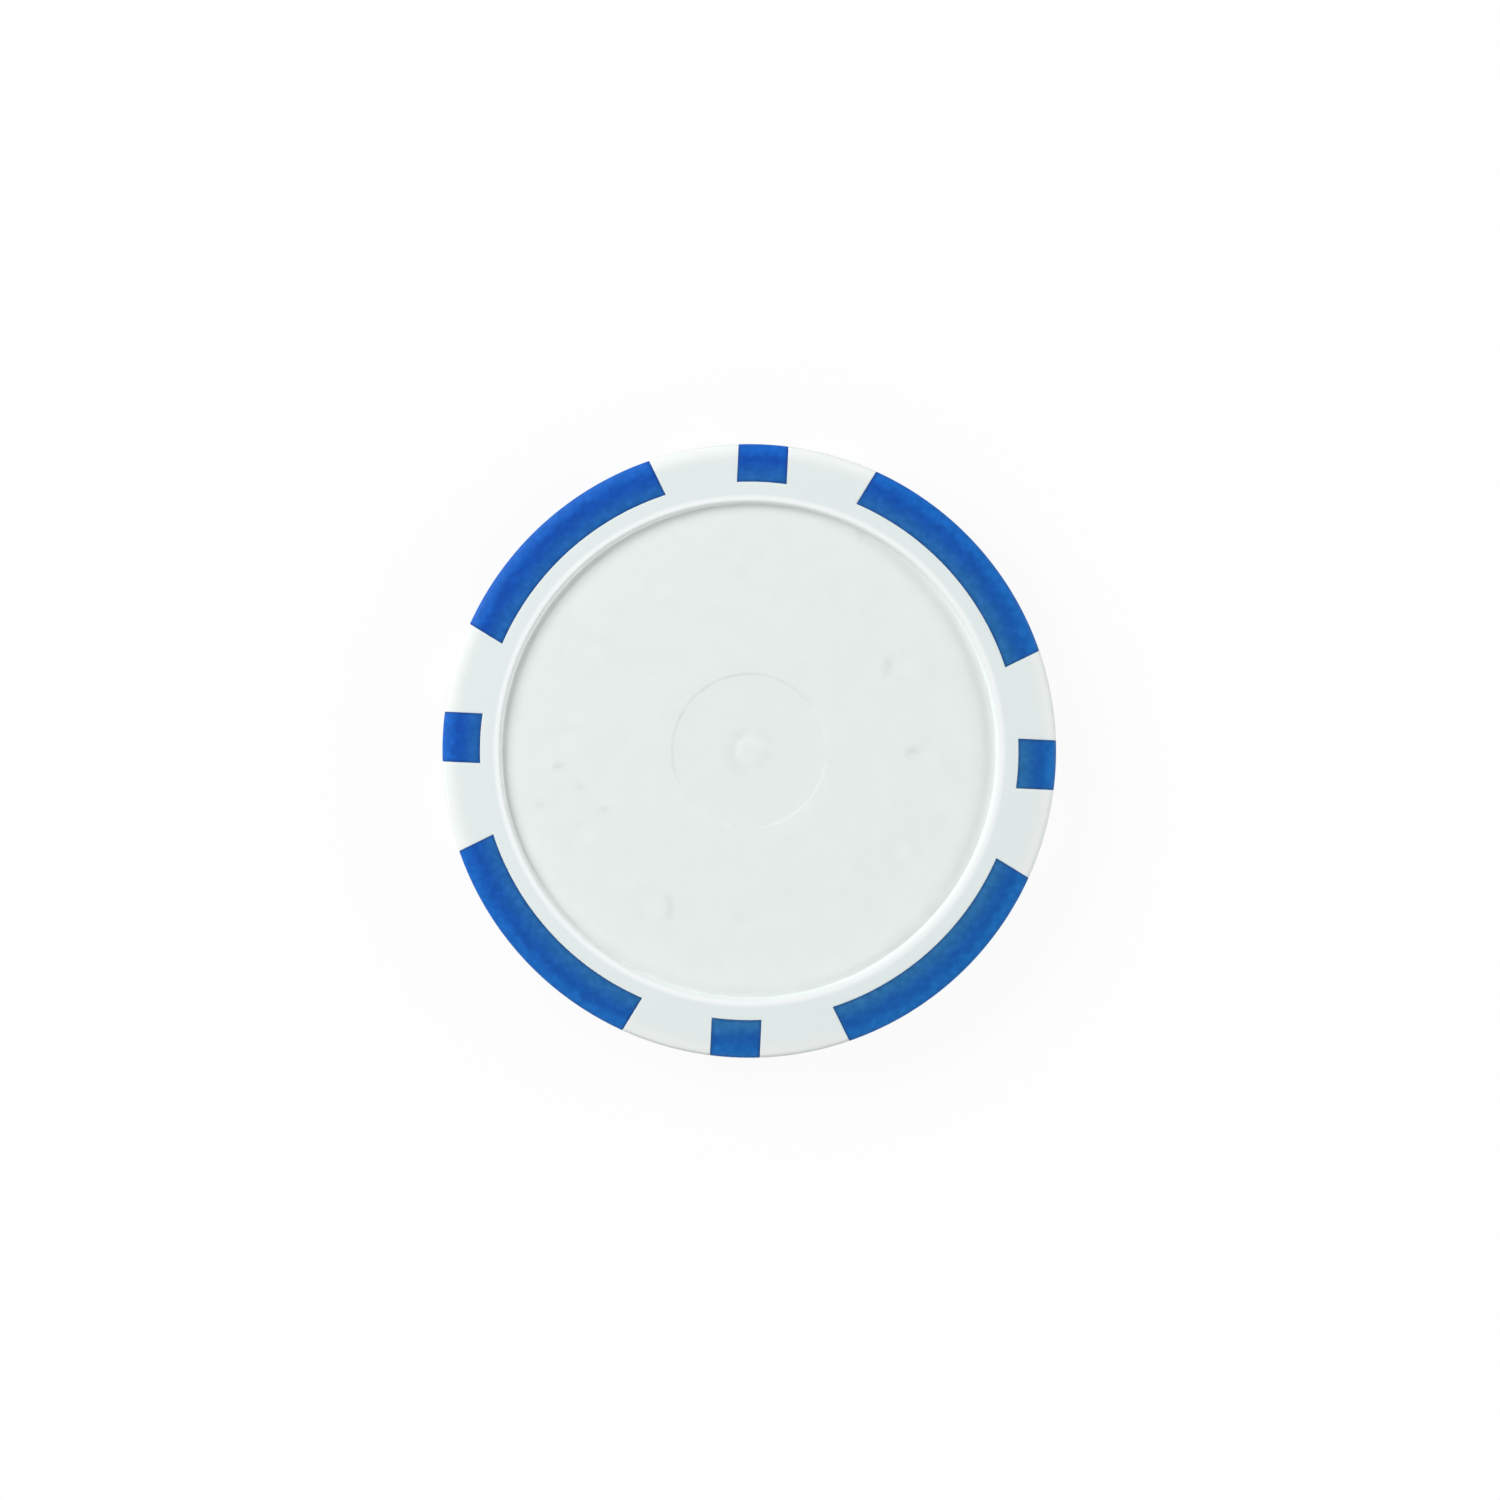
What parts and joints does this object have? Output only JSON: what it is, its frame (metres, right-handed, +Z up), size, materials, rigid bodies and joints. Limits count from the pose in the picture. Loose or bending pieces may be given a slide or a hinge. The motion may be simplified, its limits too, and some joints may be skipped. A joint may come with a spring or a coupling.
{
  "type": "poker chip",
  "caption": "Round poker chip: a steel slug closed between white plastic half shells, with blue spots set into the rim and a bare label recess on each face.",
  "frame": {"origin": "centre of the chip, at the plane its lower rim rests on", "axes": "+Z up along the chip's axis, out of the front face; +X and +Y each run through the middle of a short spot"},
  "size_m": [0.039, 0.039, 0.0033],
  "materials": {
    "white_plastic": "satin",
    "blue_plastic": "satin",
    "slug_steel": "satin"
  },
  "bodies": {
    "root": {"front_shell": "white_plastic", "back_shell": "white_plastic", "steel_slug": "slug_steel", "short_spot_east": "blue_plastic", "short_spot_north": "blue_plastic", "short_spot_west": "blue_plastic", "short_spot_south": "blue_plastic", "long_spot_north_east": "blue_plastic", "long_spot_north_west": "blue_plastic", "long_spot_south_west": "blue_plastic", "long_spot_south_east": "blue_plastic"}
  },
  "joints": []
}
